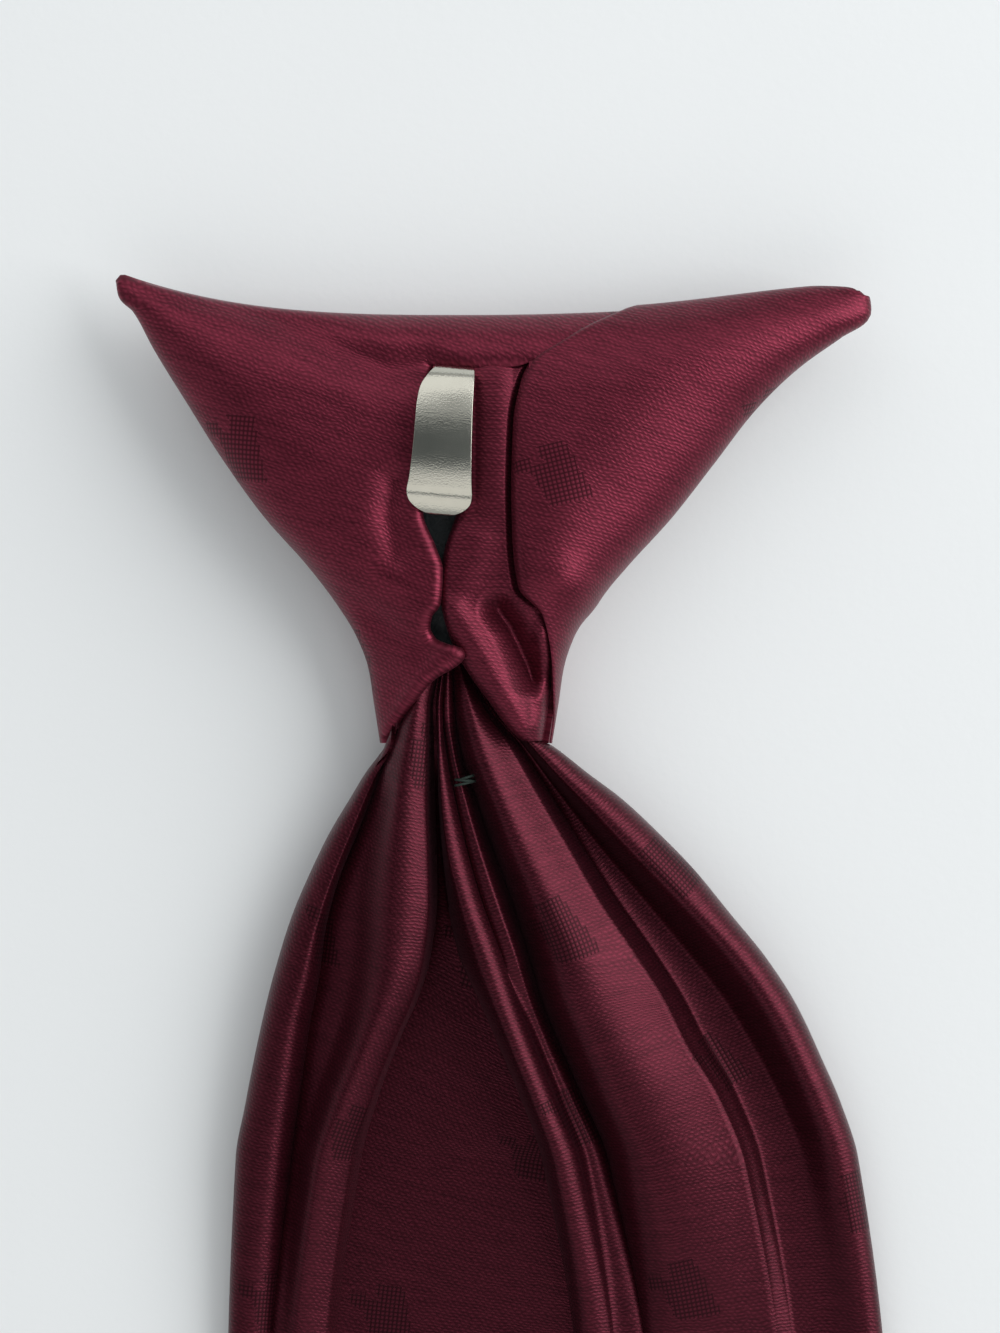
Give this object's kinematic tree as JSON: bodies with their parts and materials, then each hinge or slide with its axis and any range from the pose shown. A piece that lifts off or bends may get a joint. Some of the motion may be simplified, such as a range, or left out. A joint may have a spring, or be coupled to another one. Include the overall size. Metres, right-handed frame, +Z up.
{
  "type": "clip-on necktie",
  "caption": "Clip-on necktie lying face down: ready-tied knot with collar wings, a bowed metal spring clip in its back and one long pointed blade gathered into the knot.",
  "frame": {"origin": "Middle of the underside of the bounding box, on the surface that the tie lies on.", "axes": "X to the right as seen from the back, Y from the blade's point up to the knot, Z up out of the tie's back. The tie lies on its face."},
  "size_m": [0.0954, 0.5008, 0.0182],
  "materials": {
    "satin": "dark red woven satin with fine twill rows and small basket-weave patches",
    "core_plastic": "moulded near-black plastic",
    "clip_steel": "bright nickel plate on spring steel"
  },
  "bodies": {
    "root": {"knot_wrap": "satin", "centre_flap": "satin", "wing_flap": "satin", "knot_former": "core_plastic", "clip": "clip_steel", "blade": "satin"}
  },
  "joints": []
}
